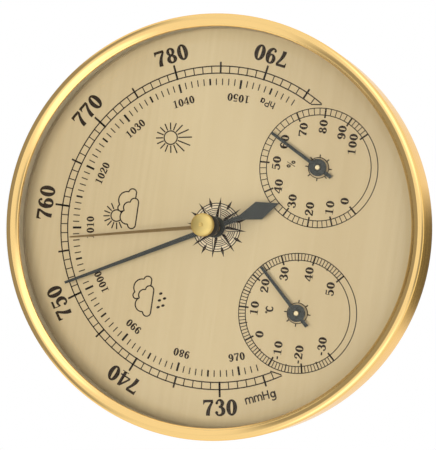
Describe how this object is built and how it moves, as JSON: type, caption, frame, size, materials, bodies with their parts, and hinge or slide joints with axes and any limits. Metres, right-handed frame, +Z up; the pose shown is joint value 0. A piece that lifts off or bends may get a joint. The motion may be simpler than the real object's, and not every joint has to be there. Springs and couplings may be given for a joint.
{
  "type": "analog weather station",
  "caption": "Round wall weather station: aneroid barometer with a set hand, hygrometer and thermometer sub-dials, gold rim, domed glass and keyhole back.",
  "frame": {"origin": "middle of the flat back face, where it lies on the wall", "axes": "+Z up as it hangs, +X to the right seen from the front, the dial faces -Y and the back +Y"},
  "size_m": [0.128, 0.0461, 0.128],
  "materials": {
    "black_plastic": "moulded, finely grained",
    "gold_rim": "polished gold-coloured plating",
    "dial_metal": "brushed, gold-anodised, printed",
    "front_glass": "clear, polished, domed",
    "brass": "turned and stamped, bare",
    "steel": "bright, bare",
    "spring_bronze": "rolled spring strip",
    "bimetal": "rolled bimetal strip",
    "black_pointer": "stoved black, satin"
  },
  "bodies": {
    "case": {"case_pot": "black_plastic", "hanger_plate": "steel", "hanger_rivet_1": "steel", "hanger_rivet_2": "steel", "access_grommet": "black_plastic", "bezel": "gold_rim", "dial_plate": "dial_metal", "glass_spacer": "gold_rim", "front_glass": "front_glass", "glass_bush": "brass", "case_screw_1": "steel", "case_screw_2": "steel", "case_screw_3": "steel", "movement_base": "brass", "bridge_plate": "brass", "top_bar": "brass", "base_pillar_1": "brass", "base_pillar_2": "brass", "base_pillar_3": "brass", "bridge_screw_1": "steel", "bridge_screw_2": "steel", "bridge_screw_3": "steel", "upper_pillar_1": "brass", "upper_pillar_2": "brass", "bar_screw_1": "steel", "bar_screw_2": "steel", "aneroid_capsule": "spring_bronze", "hairspring": "spring_bronze", "hairspring_stud": "brass", "thermo_bush": "brass", "thermo_nut": "brass", "thermo_bracket": "steel", "thermo_coil": "bimetal", "hygro_bush": "brass", "hygro_nut": "brass", "hygro_bracket": "steel", "hygro_coil": "spring_bronze"},
    "set_hand": {"set_knob": "gold_rim", "spring_washer": "spring_bronze", "set_hand": "brass", "set_collar": "brass"},
    "pointer": {"pinion_arbor": "steel", "main_pointer": "black_pointer", "pointer_collet": "brass"},
    "sector": {"sector": "brass", "sector_arbor": "steel"},
    "rocker": {"rocker_lever": "brass", "rocker_arbor": "steel"},
    "capsule_post": {"capsule_post": "brass"},
    "calibrating_screw": {"calibrating_screw": "steel"},
    "thermo": {"thermo_arbor": "brass", "thermo_pointer": "black_pointer"},
    "hygro": {"hygro_arbor": "brass", "hygro_pointer": "black_pointer"}
  },
  "joints": [
    {"name": "sector_swing", "type": "hinge", "parent": "case", "child": "sector", "pos_m": [0, -0.0185, 0.0225], "axis": [0, 1, 0], "range_deg": [-18.5, 11.5], "stiffness_Nm_per_rad": 0.1},
    {"name": "pointer_turn", "type": "hinge", "parent": "case", "child": "pointer", "pos_m": [0, -0.0272, 0], "axis": [0, 1, 0], "range_deg": [-92.2, 148.2], "deforming": ["hairspring"]},
    {"name": "rocker_tilt", "type": "hinge", "parent": "case", "child": "rocker", "pos_m": [0, -0.0127, 0.0193], "axis": [-1, 0, 0], "range_deg": [-11.6, 7.2]},
    {"name": "capsule_travel", "type": "slide", "parent": "case", "child": "capsule_post", "axis": [0, -1, 0], "range_m": [-0.00102, 0.00064], "deforming": ["aneroid_capsule"]},
    {"name": "set_hand_turn", "type": "hinge", "parent": "case", "child": "set_hand", "pos_m": [0, -0.0335, 0], "axis": [0, 1, 0], "continuous": true},
    {"name": "calibrating_turn", "type": "hinge", "parent": "case", "child": "calibrating_screw", "pos_m": [0, -0.003, 0.0143], "axis": [0, 1, 0], "continuous": true},
    {"name": "thermo_turn", "type": "hinge", "parent": "case", "child": "thermo", "pos_m": [-0.022, -0.0256, -0.0283], "axis": [0, 1, 0], "range_deg": [-178.7, 91.3], "stiffness_Nm_per_rad": 0.0005, "deforming": ["thermo_coil"]},
    {"name": "hygro_turn", "type": "hinge", "parent": "case", "child": "hygro", "pos_m": [0.022, -0.0256, -0.0283], "axis": [0, 1, 0], "range_deg": [-164.3, 111], "stiffness_Nm_per_rad": 0.0005, "deforming": ["hygro_coil"]}
  ],
  "couplings": [
    {"joint": "pointer_turn", "follows": "sector_swing", "ratio": -8},
    {"joint": "rocker_tilt", "follows": "sector_swing", "ratio": 0.62222},
    {"joint": "capsule_travel", "follows": "sector_swing", "m_per_rad": 0.0031111}
  ]
}
